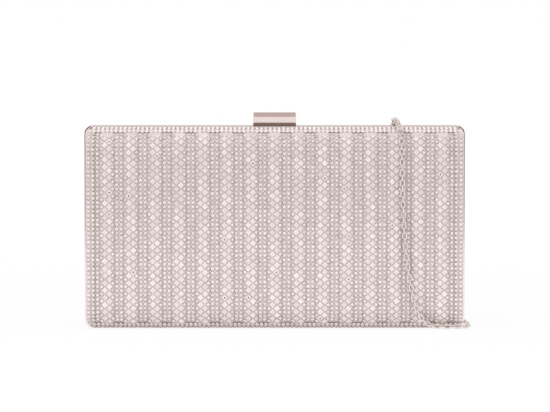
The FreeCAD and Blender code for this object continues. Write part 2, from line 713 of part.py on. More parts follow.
def make_chain_mount(side):
    """Ears under the frame band, a pin through them and the ring on the chain's end."""
    name = side_name(side)
    sign = "-" if side == FRONT else ""
    band = "case_height - frame_wall"
    place = {"y": f"{sign}chain_back", "z": f"{band} - chain_pin_drop"}
    ears = []
    deep = across(side, "ear_near", "ear_far")
    tall = (f"{band} - ear_drop", band)
    for letter, low, high in (
        ("left", "chain_place - ear_inside - ear_sheet", "chain_place - ear_inside"),
        ("right", "chain_place + ear_inside", "chain_place + ear_inside + ear_sheet"),
    ):
        ear = box(f"{name}_ear_{letter}", (low, high), deep, tall)
        through = (f"{low} - overcut", f"{high} + overcut")
        hole = rod(f"{name}_ear_hole_{letter}", "x", "chain_pin + pin_play", through, **place)
        ears.append(cut(f"{name}_ear_cut_{letter}", ear, hole))
    node(group(f"{name}_ear_pair", *ears), f"{name}_chain_ears")
    outside = "(ear_inside + ear_sheet + chain_pin_end)"
    span = (f"chain_place - {outside}", f"chain_place + {outside}")
    pin = rod(f"{name}_cross_pin", "x", "chain_pin", span, **place)
    node(pin, f"{name}_chain_pin")
    ring = document.addObject("Part::Torus", f"{name}_end_ring")
    ring.Placement.Rotation = FreeCAD.Rotation(FreeCAD.Vector(0, 1, 0), 90)
    bind(ring, Radius1="ring_radius", Radius2="ring_wire")
    bind(ring, Placement__Base__x="chain_place", Placement__Base__y=f"{sign}chain_back")
    bind(ring, Placement__Base__z=f"{band} - chain_pin_drop + ring_radius - ring_wire - chain_pin - ring_gap")
    node(ring, f"{name}_chain_ring")


def make_chain(side, route):
    """One leg of the chain as a tube of straight runs and tangent arcs along its route."""
    points = [FreeCAD.Vector(*point) for point in route]
    pieces = []
    radii = []
    here = points[0]
    for before, corner, after in zip(points, points[1:], points[2:]):
        into = (corner - before).normalize()
        out = (after - corner).normalize()
        half_turn = into.getAngle(out) / 2
        trim = ARC_SHARE * min((corner - before).Length, (after - corner).Length)
        start = corner - into * trim
        end = corner + out * trim
        pieces.append(Part.LineSegment(here, start).toShape())
        arc, radius = arc_between(start, into, end)
        pieces.append(arc)
        radii.append(trim / math.tan(half_turn))
        here = end
    pieces.append(Part.LineSegment(here, points[-1]).toShape())
    path = Part.Wire(pieces)
    leg = document.addObject("Part::Feature", f"{side_name(side)}_leg")
    leg.Shape = tube(path, points[0], (points[1] - points[0]).normalize(), sheet.chain_radius)
    expected = math.pi * sheet.chain_radius ** 2 * path.Length
    share = leg.Shape.Volume / expected
    print(f"{side_name(side)} leg: {path.Length:.1f} mm, volume {share:.4f} of section x length")
    print("  radii " + " ".join(f"{radius:.1f}" for radius in radii))
    node(leg, f"chain_{side_name(side)}_leg")


def check_all():
    """Stop unless every object is sound and every piece is a valid solid."""
    document.recompute()
    for thing in document.Objects:
        if "Invalid" in thing.State or "Error" in thing.State:
            raise RuntimeError(f"{thing.Label} failed: {thing.State}")
    for thing in nodes:
        if thing.Shape.isNull() or not thing.Shape.isValid() or not thing.Shape.Solids:
            raise RuntimeError(f"{thing.Label} has no valid solid")


def main():
    fill_sheet()
    front_holes, rear_holes = make_clasp()
    for side, holes in ((REAR, rear_holes), (FRONT, front_holes)):
        make_frame(side, holes)
        make_shell(side)
        make_cover(side)
        make_lining(side)
        make_chain_mount(side)
    make_pocket()
    make_hinge()
    make_springs()
    make_chain(FRONT, FRONT_ROUTE)
    make_chain(REAR, REAR_ROUTE)
    check_all()
    os.makedirs("parts", exist_ok=True)
    for thing in nodes:
        thing.Shape.exportStep(f"parts/{thing.Label}.step")
    print(f"{len(nodes)} pieces written")


main()
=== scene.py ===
"""Looks of a minaudiere: a hard box clutch with a stone mesh, a rose metal frame and a wrist chain.

Metres.  X runs along the bag, the front face looks towards -Y and Z is up.
"""
import math
import random

import bmesh
import bpy
from bpy.props import FloatProperty, FloatVectorProperty, IntProperty, PointerProperty
from mathutils import Matrix, Vector


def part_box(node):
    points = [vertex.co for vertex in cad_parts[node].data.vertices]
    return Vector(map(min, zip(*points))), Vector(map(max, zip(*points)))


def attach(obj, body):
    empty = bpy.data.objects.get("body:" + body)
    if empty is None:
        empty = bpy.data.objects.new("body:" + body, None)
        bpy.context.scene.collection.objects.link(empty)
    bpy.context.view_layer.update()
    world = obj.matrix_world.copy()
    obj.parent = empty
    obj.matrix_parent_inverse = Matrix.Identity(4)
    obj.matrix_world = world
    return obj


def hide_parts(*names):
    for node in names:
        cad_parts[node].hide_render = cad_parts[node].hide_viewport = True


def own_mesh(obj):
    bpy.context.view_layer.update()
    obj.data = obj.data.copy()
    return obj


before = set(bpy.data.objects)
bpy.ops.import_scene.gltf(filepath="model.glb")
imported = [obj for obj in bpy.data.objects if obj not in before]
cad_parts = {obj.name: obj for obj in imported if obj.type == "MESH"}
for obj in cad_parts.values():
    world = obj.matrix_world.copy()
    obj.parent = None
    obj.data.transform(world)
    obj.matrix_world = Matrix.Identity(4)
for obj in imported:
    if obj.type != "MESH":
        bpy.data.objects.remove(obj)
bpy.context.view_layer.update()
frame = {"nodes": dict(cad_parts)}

bl_info = {
    "name": "Minaudiere",
    "version": (1, 0, 0),
    "blender": (4, 5, 0),
    "location": "View3D > Sidebar > Minaudiere",
    "description": "Stone mesh, metal, chain and lining of a box clutch, built round its packed solids",
    "category": "Object",
}

FRONT = -1
REAR = 1
SIDES = {"front": FRONT, "rear": REAR}
WHITE = (1.0, 1.0, 1.0)
BLACK = (0.0, 0.0, 0.0)
NEAR_ENOUGH = 1e-6
CUT_SLACK = 1e-7

# Heights on the bag between which its stones and net go from painted light, paler low on the face as if
# lit there, to plain.
PAINTED_LIGHT_HEIGHTS = (0.035, 0.080)
# How much painted light: lift of a stone's tone, its drop elsewhere as painted shade, and a wash of
# painted white light on stones and on the net.
PAINTED_LIGHT_LIFT = 0.28
PAINTED_SHADE_DROP = 0.18
STONE_PAINTED_LIGHT = 0.06
NET_PAINTED_LIGHT = 0.08
# Share of a stone's tone that is specks, and strength of the painted shade on stones along the bottom
# edge, of stitches and of gaps in the net.
SPECK_SHARE = 0.2
STONE_SHADE_MOST = 0.95
STITCH_MOST = 0.6
GAP_LIGHT = 0.70
# Distances over which a colour fades, from the line that it lies along.
# The first is the reach of the painted shade on stones along the bottom edge.
STONE_SHADE_REACH = (0.0004, 0.0024)
# Painted shade: reaches of the dark net along the frame at the top and at the bottom.
TOP_NET_SHADE = (0.0009, 0.0015)
BOTTOM_NET_SHADE = (0.0009, 0.0018)
STITCH_REACH = (0.0002, 0.0005)
STRIPE_REACH = (0.0022, 0.0030)
# Painted shade: how far past the straight part of the edge the dark net reaches.
NET_SHADE_ENDS = (-0.0007, 0.0008)

# Shares of a stone's width: clearance of face rows, border, hem, corners and ends, and a stud's middle,
# which holds a painted reflection.
ROW_CLEAR = 0.45
BORDER_CLEAR = 0.55
HEM_CLEAR = 0.25
CORNER_CLEAR = 0.3
END_CLEAR = 0.6
EYE_SHARE = 0.2
# A square stud from corner to corner, over its side, a little short.
STUD_DIAGONAL = 1.4
# Share of a stone's height that its cup hides, coloured dark as painted shade in the gaps round the
# stone.
CUP_SHADE_SHARE = 0.6
# Tones: flat of a stud with a painted dark reflection, that painted reflection on its middle facet, and
# how much darker the painted grey reflection makes the others' middles.
REFLECTING_STUD_FLAT = 0.8
DARK_REFLECTION_TONE = -0.25
GREY_REFLECTION_DROP = 0.55
# Columns of stones on an upright end, and flats of a rounded corner.
END_COLUMNS = 5
CORNER_STEPS = 4
# Half the floor's side, and distances over which it turns plain white.
FLOOR_HALF = 6.0
FLOOR_FADE = (0.1, 0.6)
# Height that lamps and cards look at.
MIDDLE = 0.05

# Centre lines of the chain's two legs, from the frame's notch to their ends, in tenths of a millimetre.
CHAIN_ROUTES = {
    "front": [
        (660, -32, 1104), (663, -37, 1158), (674, -86, 1165), (685, -150, 1147), (694, -214, 1106),
        (699, -250, 1036), (702, -245, 920), (705, -244, 770), (712, -245, 580), (722, -244, 440),
        (738, -245, 320), (759, -248, 205), (782, -249, 122), (809, -240, 68), (844, -219, 32),
        (890, -200, 17), (944, -199, 17), (998, -201, 17), (1053, -195, 17), (1081, -138, 17),
        (1081, -74, 17), (1079, -22, 17),
    ],
    "rear": [
        (660, 32, 1104), (663, 37, 1157), (673, 87, 1164), (682, 151, 1146), (688, 215, 1105),
        (691, 250, 1035), (693, 245, 910), (696, 244, 750), (703, 245, 570), (714, 244, 420),
        (730, 245, 290), (748, 248, 185), (768, 249, 114), (794, 239, 64), (832, 219, 31),
        (882, 200, 17), (938, 200, 17), (996, 201, 17), (1053, 195, 17), (1081, 138, 17),
        (1081, 74, 17), (1079, 22, 17),
    ],
}
TENTHS_IN_METRE = 10000


def length(label, note, default):
    """A size in metres that a user may change."""
    return FloatProperty(name=label, description=note, default=default, unit="LENGTH", precision=5)


def number(label, note, default, **more):
    """A share, an angle or the like that a user may change."""
    return FloatProperty(name=label, description=note, default=default, **more)


def colour(label, note, default):
    """A colour that a user may change."""
    return FloatVectorProperty(
        name=label, description=note, default=default, subtype="COLOR", min=0, max=1
    )


class StoneSizes(bpy.types.PropertyGroup):
    """Sizes of the stone mesh on the cover."""
    roll: length("Roll", "Radius of the face's roll into top and bottom", 0.012)
    corner: length("Corner", "Radius of the cover's corners seen from the front", 0.0041)
    seam: length("Seam", "Height of the seam below the top of the cover", 0.0028)
    stripe_pitch: length("Stripe pitch", "From one zigzag stripe to the next", 0.01322)
    stripe_half: length("Stripe half", "Half width of the raised net under a stripe of studs", 0.0034)
    stripe_rise: length("Stripe rise", "Stripes of studs above the round stones between them", 0.0005)
    stripes: IntProperty(name="Stripes", description="Zigzag stripes on a face", default=15, min=1)
    stud: length("Stud", "Side of a square stud", 0.00262)
    stud_pitch: length("Stud pitch", "Square studs along a column", 0.00401)
    stud_height: length("Stud height", "A left-hand stud on the face, above the base", 0.09405)
    stud_aside: length("Stud aside", "Columns of studs either side of a stripe's middle", 0.00122)
    notch_aside: length("Notch aside", "Small stones in the notches of a stripe", 0.00310)
    notch_stone: length("Notch stone", "Width of a small stone", 0.00218)
    round_aside: length("Round aside", "Columns of round stones either side of a stripe", 0.00535)
    round_stone: length("Round stone", "Width of a round stone", 0.00236)
    round_pitch: length("Round pitch", "Round stones along a column", 0.00244)
    round_height: length("Round height", "A round stone on the face, above the base", 0.09730)
    stone_tall: length("Stone height", "Height of a stone above the cloth", 0.00085)
    bed: length("Bed", "Top of the stones to the net they are set on", 0.00050)
    tilt: number("Tilt", "Most that a stone leans", 0.10, min=0)
    turn: number("Turn", "Most that a stone is turned", 0.10, subtype="ANGLE")
    shift: length("Shift", "Most that a stone is off its place, each way", 0.00010)
    # Share of studs with a painted dark reflection on the middle facet.
    dark_reflection: number("Painted_dark_reflection", "Share of studs with a dark facet", 0.03, min=0)


class ChainSizes(bpy.types.PropertyGroup):
    """Sizes of the chain."""
    width: length("Width", "Outside width of a link", 0.0030)
    wire: length("Wire", "Diameter of the link's wire", 0.00085)
    pitch: length("Pitch", "From one link to the next", 0.0029)
    lean: number("Lean", "Turn of the first link about the chain", 0.35, subtype="ANGLE")


class LiningSizes(bpy.types.PropertyGroup):
    """Sizes of the lining, its pocket and the return springs."""
    inset: length("Inset", "Inside of the lining, in from the cover", 0.0041)
    sheet: length("Sheet", "Lined board", 0.0005)
    corner: length("Corner", "Inside corners of the lining", 0.0023)
    pocket_corner: length("Pocket corner", "Corner radius of the slip pocket", 0.008)
    pocket_slack: length("Pocket slack", "How far the pocket's mouth stands open", 0.0016)
    hem: length("Hem", "Depth of the folded hem at the pocket's mouth", 0.007)
    hem_rise: length("Hem rise", "Hem above the rest of the pocket", 0.0004)
    spring_radius: length("Spring radius", "Mean radius of a return spring", 0.00175)
    spring_wire: length("Spring wire", "Diameter of a return spring's wire", 0.0004)
    spring_turns: IntProperty(name="Turns", description="Turns of a return spring", default=4, min=1)
    spring_keep: number("Keep", "Share of its height that a pressed spring keeps", 0.75)


class Finishes(bpy.types.PropertyGroup):
    """Colours of the bag."""
    stone: colour("Stone", "Body of the stones", (0.88, 0.79, 0.78))
    stone_deep: colour("Deep stone", "Darker stones", (0.68, 0.595, 0.585))
    mirror: colour("Mirror stud", "Flat of the square studs", (0.95, 0.875, 0.87))
    mirror_deep: colour("Deep mirror", "Darker studs", (0.70, 0.62, 0.615))
    # The cups hold the stones; their dark rims are painted shade in the gaps round each stone.
    mirror_cup_shade: colour("Mirror cup", "Rim of the cups that hold the studs", (0.56, 0.48, 0.46))
    cup: colour("Cup", "Rim of the cups that hold the stones", (0.42, 0.345, 0.325))
    # Painted reflection: colour of the dark reflection in a few studs' middles.
    dark_reflection: colour("Painted_dark_reflection", "Dark facet of a few stones", (0.20, 0.125, 0.10))
    # Painted shade: stones browner along the bottom edge, where they lie in shade.
    bottom_stone_shade: colour("Bottom_stone_shade", "Browner stones along the bottom edge", (0.58, 0.42, 0.365))
    cloth: colour("Cloth", "Net under the stones", (0.72, 0.63, 0.61))
    cloth_pale: colour("Pale cloth", "Net along the middles of the stripes", (0.78, 0.69, 0.675))
    metal: colour("Metal", "Polished clasp, hinge and chain mounts", (0.86, 0.745, 0.715))
    frame: colour("Frame", "Polished frame", (0.94, 0.86, 0.84))
    chain: colour("Chain", "Chain links", (0.90, 0.80, 0.77))
    satin: colour("Satin", "Lining", (0.70, 0.60, 0.57))
    shell: colour("Shell", "Moulded shell", (0.55, 0.48, 0.46))
    # Painted shade: the guard is coloured dark for the shade under the press bar.
    dark: colour("Dark strip", "Guard in front of the press bar", (0.15, 0.090, 0.072))
    # Painted shade along the frame at top and bottom; the same colour darkens the seam.
    edge_shade_and_seam: colour("Shade_and_seam", "Edge of the net along the frame", (0.34, 0.25, 0.225))
    steel: colour("Steel", "Return springs", (0.62, 0.61, 0.60))


class StageSizes(bpy.types.PropertyGroup):
    """Camera and light."""
    distance: length("Distance", "Camera to the bag", 1.4)
    elevation: number("Elevation", "Camera above the horizon", math.radians(2.2), subtype="ANGLE")
    lens: number("Lens", "Focal length in millimetres", 164.4)
    aim_height: length("Aim height", "Height that the camera looks at", 0.06805)
    aim_right: length("Aim right", "How far right of the middle the camera looks", 0.0002)
    ambient: number("Ambient", "Strength of the surrounding light", 0.70)
    floor_white: number("Floor white", "Share of the floor that is plain white", 0.9)


class Socket:
    """An output of a node.  Arithmetic on it adds Math nodes to its tree."""

    def __init__(self, tree, socket):
        self.tree = tree
        self.socket = socket

    def out(self, name):
        """Another output of the same node."""
        return Socket(self.tree, self.socket.node.outputs[name])

    def math(self, operation, first, second):
        return self.tree.node("ShaderNodeMath", {"operation": operation}, {0: first, 1: second})

    def __add__(self, other):
        return self.math("ADD", self, other)

    def __sub__(self, other):
        return self.math("SUBTRACT", self, other)

    def __mul__(self, other):
        return self.math("MULTIPLY", self, other)

    __radd__ = __add__
    __rmul__ = __mul__


class Tree:
    """Node tree of a material or of the world."""

    def __init__(self, owner):
        owner.use_nodes = True
        self.owner = owner
        self.nodes = owner.node_tree.nodes
        self.links = owner.node_tree.links
        self.nodes.clear()

    def node(self, kind, settings=None, values=None):
        """Add a node: its settings first, then the values or links of its sockets."""
        made = self.nodes.new(kind)
        for name, value in (settings or {}).items():
            setattr(made, name, value)
        for name, value in (values or {}).items():
            socket = self.find(made.inputs, name)
            if isinstance(value, Socket):
                self.links.new(value.socket, socket)
            else:
                is_tint = socket.type == "RGBA" and len(value) == 3
                socket.default_value = (*value, 1) if is_tint else value
        shown = [socket for socket in made.outputs if socket.enabled]
        return Socket(self, shown[0]) if shown else None

    def find(self, sockets, name):
        """The socket in use with that name or number."""
        if isinstance(name, int):
            return sockets[name]
        return next(socket for socket in sockets if socket.enabled and socket.name == name)

    def mix(self, share, first, second):
        """Blend of two colours."""
        values = {"Factor": share, "A": first, "B": second}
        return self.node("ShaderNodeMix", {"data_type": "RGBA"}, values)

    def bump(self, height, strength, distance):
        """Normal of a surface with a fine relief."""
        values = {"Height": height, "Strength": strength, "Distance": distance}
        return self.node("ShaderNodeBump", {}, values)

    def surface(self, shader):
        """The material, with that shader on its surface."""
        self.node("ShaderNodeOutputMaterial", {}, {"Surface": shader})
        return self.owner

    def principled(self, values):
        return self.surface(self.node("ShaderNodeBsdfPrincipled", {}, values))


def new_material(name):
    """Empty tree of a new material."""
    return Tree(bpy.data.materials.new(name))


def noise(tree, coordinates, scale, detail=2.0):
    """Soft noise from 0 to 1."""
    return tree.node(
        "ShaderNodeTexNoise", {"noise_dimensions": "3D"},
        {"Vector": coordinates, "Scale": scale, "Detail": detail},
    )


def object_coordinates(tree):
    return tree.node("ShaderNodeTexCoord").out("Object")


def weave(tree, coordinates, scale, distortion):
    """Diagonal threads, from 0 between them to 1 on them."""
    return tree.node(
        "ShaderNodeTexWave", {"wave_type": "BANDS", "bands_direction": "DIAGONAL"},
        {"Vector": coordinates, "Scale": scale, "Distortion": distortion},
    )


def fade(tree, value, near, far, most=1.0, rest=0.0):
    """Most up to a near distance, the rest past a far one."""
    away = value.math("ABSOLUTE", value, 0)
    return tree.node("ShaderNodeMapRange", {}, {
        "Value": away, "From Min": near, "From Max": far, "To Min": most, "To Max": rest,
    })


def stone_finish(name, pale, deep, rim, dark_reflection, bottom_stone_shade, cover):
    """Silvered stones in cups, each with its tone; painted shade on the dark cups round each stone's
    foot, painted light low on the face, painted shade in brown along its bottom edge, and painted
    reflections in the studs' middles.
    """
    tree = new_material(name)
    place = object_coordinates(tree)
    tone = tree.node("ShaderNodeAttribute", {"attribute_name": "tone"}).out("Fac")
    cup = tree.node("ShaderNodeAttribute", {"attribute_name": "cup"}).out("Fac")
    speck = noise(tree, place, 900.0)
    height = tree.node("ShaderNodeSeparateXYZ", {}, {"Vector": place}).out("Z")
    # Painted light: stones paler low on the face and darker above, as the light falls.
    painted_light = fade(tree, height, *PAINTED_LIGHT_HEIGHTS)
    share = tone * (1 - SPECK_SHARE) + speck * SPECK_SHARE + painted_light * PAINTED_LIGHT_LIFT - PAINTED_SHADE_DROP
    # Painted shade: each stone's foot, in its cup, darker as in the gaps between stones.
    tint = tree.mix(cup, tree.mix(share, deep, pale), rim)
    tint = tree.mix(painted_light * STONE_PAINTED_LIGHT, tint, WHITE)
    # Painted shade: stones browner along the bottom edge.
    low = fade(tree, height - cover.bottom, *STONE_SHADE_REACH, STONE_SHADE_MOST)
    # Painted reflection: a dark facet where the tone is below nought.
    tint = tree.mix(tone.math("LESS_THAN", tone, 0.0), tree.mix(low, tint, bottom_stone_shade), dark_reflection)
    return tree.principled({
        "Base Color": tint,
        "Metallic": 0.45,
        "Roughness": 0.16 + speck * 0.14,
        "Coat Weight": 0.25,
        "Coat Roughness": 0.08,
    })


def cloth_finish(name, dark, pale, edge_shade_and_seam, cover, pitch):
    """Net under the stones, paler along the middles of the stripes and, as painted light, low on the
    face, with painted shade along the frame at top and bottom, and a dark seam.
    """
    tree = new_material(name)
    place = object_coordinates(tree)
    split = tree.node("ShaderNodeSeparateXYZ", {}, {"Vector": place})
    straight = cover.half_width - cover.corner
    within = fade(tree, split.out("X"), *(straight + past for past in NET_SHADE_ENDS))
    shade_at_top = fade(tree, split.out("Z") - cover.top, *TOP_NET_SHADE)
    shade_at_bottom = fade(tree, split.out("Z") - cover.bottom, *BOTTOM_NET_SHADE)
    stitch = fade(tree, split.out("Z") - cover.seam_height, *STITCH_REACH, STITCH_MOST)
    # Painted shade along the frame at top and bottom, and a dark seam.
    edge = split.math("MAXIMUM", (shade_at_top + shade_at_bottom) * within, stitch)
    threads = weave(tree, place, 900.0, 1.5)
    off_stripe = split.math("PINGPONG", split.out("X"), pitch / 2)
    thread = tree.mix(fade(tree, off_stripe, *STRIPE_REACH), dark, pale)
    gap = tree.mix(GAP_LIGHT, BLACK, thread)
    # Painted light: net washed paler low on the face.
    painted_light = fade(tree, split.out("Z"), *PAINTED_LIGHT_HEIGHTS, NET_PAINTED_LIGHT)
    net = tree.mix(painted_light, tree.mix(threads, gap, thread), WHITE)
    return tree.principled({
        "Base Color": tree.mix(edge, net, edge_shade_and_seam),
        "Roughness": 0.75 + threads * 0.15,
        "Normal": tree.bump(threads, 0.4, 0.0001),
    })


def metal_finish(name, tint, rough):
    """Polished plated metal with faint smudges."""
    tree = new_material(name)
    place = object_coordinates(tree)
    smudge = noise(tree, place, 60.0, 4.0)
    grain = noise(tree, place, 1400.0, 3.0)
    return tree.principled({
        "Base Color": tree.mix(smudge, shaded(tint, 0.93), tint),
        "Metallic": 1.0,
        "Roughness": rough + smudge * 0.08,
        "Normal": tree.bump(grain, 0.04, 0.0001),
    })


def satin_finish(name, tint):
    """Satin with a fine twill and soft creases, with painted shade in the creases."""
    tree = new_material(name)
    place = object_coordinates(tree)
    twill = weave(tree, place, 1500.0, 0.6)
    crease_and_shade = noise(tree, place, 45.0, 3.0)
    height = twill * 0.05 + crease_and_shade
    return tree.principled({
        # Painted shade: darker down in the creases.
        "Base Color": tree.mix(crease_and_shade, shaded(tint, 0.80), tint),
        "Roughness": 0.34 + twill * 0.12,
        "Sheen Weight": 0.35,
        "Sheen Roughness": 0.3,
        "Normal": tree.bump(height, 0.35, 0.001),
    })


def moulded_finish(name, tint):
    """Moulded plastic with a fine spark grain."""
    tree = new_material(name)
    grain = noise(tree, object_coordinates(tree), 1800.0, 2.0)
    return tree.principled({
        "Base Color": tree.mix(grain, shaded(tint, 0.88), tint),
        "Roughness": 0.45 + grain * 0.15,
        "Normal": tree.bump(grain, 0.15, 0.0001),
    })


def shaded(tint, share):
    """A darker tint."""
    return tuple(share * part for part in tint)


def stand(name, data, place, way):
    """Add a lamp or a camera at a place, looking along a way."""
    thing = bpy.data.objects.new(name, data)
    thing.location = place
    thing.rotation_euler = way.to_track_quat("-Z", "Y").to_euler()
    bpy.context.scene.collection.objects.link(thing)
    return thing


def mesh_of(bm, name):
    """Turn a bmesh into a mesh; the bmesh is used up."""
    mesh = bpy.data.meshes.new(name)
    bm.to_mesh(mesh)
    bm.free()
    return mesh


def add_object(bm, name, material):
    """Turn a bmesh into an object of the scene."""
    mesh = mesh_of(bm, name)
    mesh.materials.append(material)
    thing = bpy.data.objects.new(name, mesh)
    bpy.context.scene.collection.objects.link(thing)
    return thing


def finish_piece(bm, name, material, body, slot, *nodes):
    """Turn a bmesh into a piece that rides on a body and stands for its solids."""
    thing = add_object(bm, name, material)
    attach(thing, body)
    if nodes:
        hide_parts(*nodes)
    return thing


class Cover:
    """Outer surface of one half's cover, unrolled: u along the bag, s from the top edge down."""

    def __init__(self, name, sizes):
        low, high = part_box(f"{name}_crystal_face")
        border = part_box(f"{name}_crystal_border")[1]
        self.name = name
        self.body = f"{name}_half"
        self.face_node = f"{name}_crystal_face"
        self.side = SIDES[name]
        self.roll = sizes.roll
        self.corner = sizes.corner
        self.half_width = high.x
        self.near = min(abs(low.y), abs(high.y))
        self.far = max(abs(low.y), abs(high.y))
        self.bottom = low.z
        self.top = border.z
        self.rim = self.far - sizes.roll - self.near
        self.arc = sizes.roll * math.pi / 2
        self.tall = self.top - self.bottom - 2 * sizes.roll
        self.total = 2 * self.rim + 2 * self.arc + self.tall
        self.seam_height = self.top - sizes.seam
        self.seam = self.rim + sizes.roll * math.acos(1 - sizes.seam / sizes.roll)
        self.hem_height = self.bottom + sizes.seam
        self.hem = self.total - self.seam
        self.first_stripe = -sizes.stripe_pitch * (sizes.stripes - 1) / 2

    def profile(self, s):
        """Depth, height and outward direction at a place along the unrolled profile."""
        mirrored = s > self.total / 2
        s = min(s, self.total - s) - self.rim
        turn = min(max(s, 0.0), self.arc) / self.roll
        out, up = math.sin(turn), math.cos(turn)
        depth = self.far - self.roll * (1 - out) + min(s, 0.0)
        height = self.top - self.roll * (1 - up) - max(s - self.arc, 0.0)
        if mirrored:
            return depth, self.top + self.bottom - height, out, -up
        return depth, height, out, up

    def across(self, height):
        """Place along the unrolled profile of a height on the flat of the face."""
        return self.rim + self.arc + self.top - self.roll - height

    def end(self, sign):
        """Rule that lays flat stones, depth by height, on one upright end."""
        def lay(depth, height, lift):
            return Vector((sign * (self.half_width + lift), self.side * depth, height))
        return lay

    def surface(self, drop):
        """Rule that lays flat stones, u by s, over the cover, sunk by a drop."""
        def lay(u, s, lift):
            depth, height, out, up = self.profile(s)
            rise = lift - drop
            return Vector((u, self.side * (depth + out * rise), height + up * rise))
        return lay

    def takes(self, place, width):
        """Whether a stone at a place stays inside the rounded corners."""
        over = abs(place.x) - self.half_width + self.corner
        past = abs(place.z - (self.top + self.bottom) / 2) - (self.top - self.bottom) / 2 + self.corner
        return min(over, past) < 0 or math.hypot(over, past) < self.corner - width * CORNER_CLEAR


def face_outward(bm):
    bmesh.ops.recalc_face_normals(bm, faces=bm.faces[:])


def smooth(bm):
    for face in bm.faces:
        face.smooth = True


def cut_stone(width, tall, facets, rings):
    """Cut stone standing on Z=0, drawn in ring by ring to a flat table."""
    bm = bmesh.new()
    bmesh.ops.create_circle(bm, cap_ends=True, radius=width / 2, segments=facets)
    table = bm.faces[:]
    for rise, draw in rings:
        grown = bmesh.ops.extrude_face_region(bm, geom=table)["geom"]
        ring = [part for part in grown if isinstance(part, bmesh.types.BMVert)]
        bmesh.ops.delete(bm, geom=[face for face in table if face.is_valid], context="FACES_ONLY")
        table = [part for part in grown if isinstance(part, bmesh.types.BMFace)]
        bmesh.ops.translate(bm, verts=ring, vec=(0, 0, rise * tall))
        for vert in ring:
            vert.co.xy = vert.co.xy.normalized() * width / 2 * draw
    return bm


def round_stone(width, tall):
    """Domed round stone."""
    return cut_stone(width, tall, 10, ((0.45, 0.98), (0.40, 0.74), (0.15, 0.48)))


def square_stud(side, tall):
    """Flat square stud turned on its corner, with a narrow bevel and a small facet in the middle."""
    rings = ((0.55, 0.98), (0.33, 0.90), (0.12, 0.78), (0.0, 0.15))
    return cut_stone(side * math.sqrt(2), tall, 4, rings)


def array(bm, step, copies):
    """Repeat everything in a bmesh along a step."""
    if copies > 1:
        bmesh.ops.spin(
            bm, geom=everything(bm), cent=(0, 0, 0), axis=(0, 0, 1), dvec=step, angle=0.0,
            steps=copies - 1, use_duplicate=True,
        )


def set_out(stone, starts, row_pitch, rows, column_pitch, columns):
    """Rows and columns of a stone, flat, from each of its starting places; the stone is used up."""
    template = mesh_of(stone, "stone")
    bm = bmesh.new()
    for u, s in starts:
        known = set(bm.verts)
        bm.from_mesh(template)
        fresh = [vert for vert in bm.verts if vert not in known]
        bmesh.ops.translate(bm, verts=fresh, vec=(u, s, 0))
    bpy.data.meshes.remove(template)
    array(bm, (0, row_pitch, 0), rows)
    array(bm, (column_pitch, 0, 0), columns)
    return bm


def joined(parts):
    """Several bmeshes as one; the parts are used up."""
    whole, *others = parts
    for part in others:
        mesh = mesh_of(part, "part")
        whole.from_mesh(mesh)
        bpy.data.meshes.remove(mesh)
    return whole


def settle(bm, lay, sizes, seed, takes, eye):
    """Lay the flat stones on a surface, each a little out of true and with its own tone.

    Stones have a darker spot, a painted grey reflection, within the eye's radius, and a dark one, a
    painted dark reflection, on a few of them.  Stray ones go.
    """
    rng = random.Random(seed)

    def either_way(most):
        return rng.uniform(-most, most)

    tall = sizes.stone_tall
    tone = bm.verts.layers.float.new("tone")
    cup = bm.verts.layers.float.new("cup")
    waiting = set(bm.verts)
    stray = []
    for first in bm.verts:
        if first not in waiting:
            continue
        stone = [first]
        waiting.discard(first)
        for vert in stone:
            for edge in vert.link_edges:
                other = edge.other_vert(vert)
                if other in waiting:
                    waiting.discard(other)
                    stone.append(other)
        middle = sum((vert.co for vert in stone), Vector()) / len(stone)
        shade = rng.random()
        lean = Vector((either_way(sizes.tilt), either_way(sizes.tilt)))
        turn = Matrix.Rotation(either_way(sizes.turn), 3, "Z")
        shift = Vector((either_way(sizes.shift), either_way(sizes.shift), 0))
        dark_reflection = eye > 0 and shade < sizes.dark_reflection
        for vert in stone:
            aside = turn @ (vert.co - middle)
            lift = vert.co.z - tall
            if vert.co.z > 0:
                lift += lean.dot(aside.xy)
            # Painted reflection: grey in the middle of every stud, dark on a few.
            vert[tone] = REFLECTING_STUD_FLAT if dark_reflection else shade
            if aside.xy.length < eye:
                vert[tone] = DARK_REFLECTION_TONE if dark_reflection else max(0.0, shade - GREY_REFLECTION_DROP)
            # Painted shade: the foot of each stone is marked for the dark cup colour.
            vert[cup] = 1.0 if vert.co.z < tall * CUP_SHADE_SHARE else 0.0
            spot = middle + shift + aside
            vert.co = lay(spot.x, spot.y, lift)
        if not takes(lay(middle.x, middle.y, 0)):
            stray += stone
    bmesh.ops.delete(bm, geom=stray, context="VERTS")
    face_outward(bm)


def everything(bm):
    return bm.verts[:] + bm.edges[:] + bm.faces[:]


def slice_off(bm, place, out):
    """Cut away what lies past a plane, and give the edges of the cut."""
    cut = bmesh.ops.bisect_plane(
        bm, geom=everything(bm), dist=CUT_SLACK, plane_co=place, plane_no=out, clear_outer=True
    )["geom_cut"]
    return [part for part in cut if isinstance(part, bmesh.types.BMEdge)]


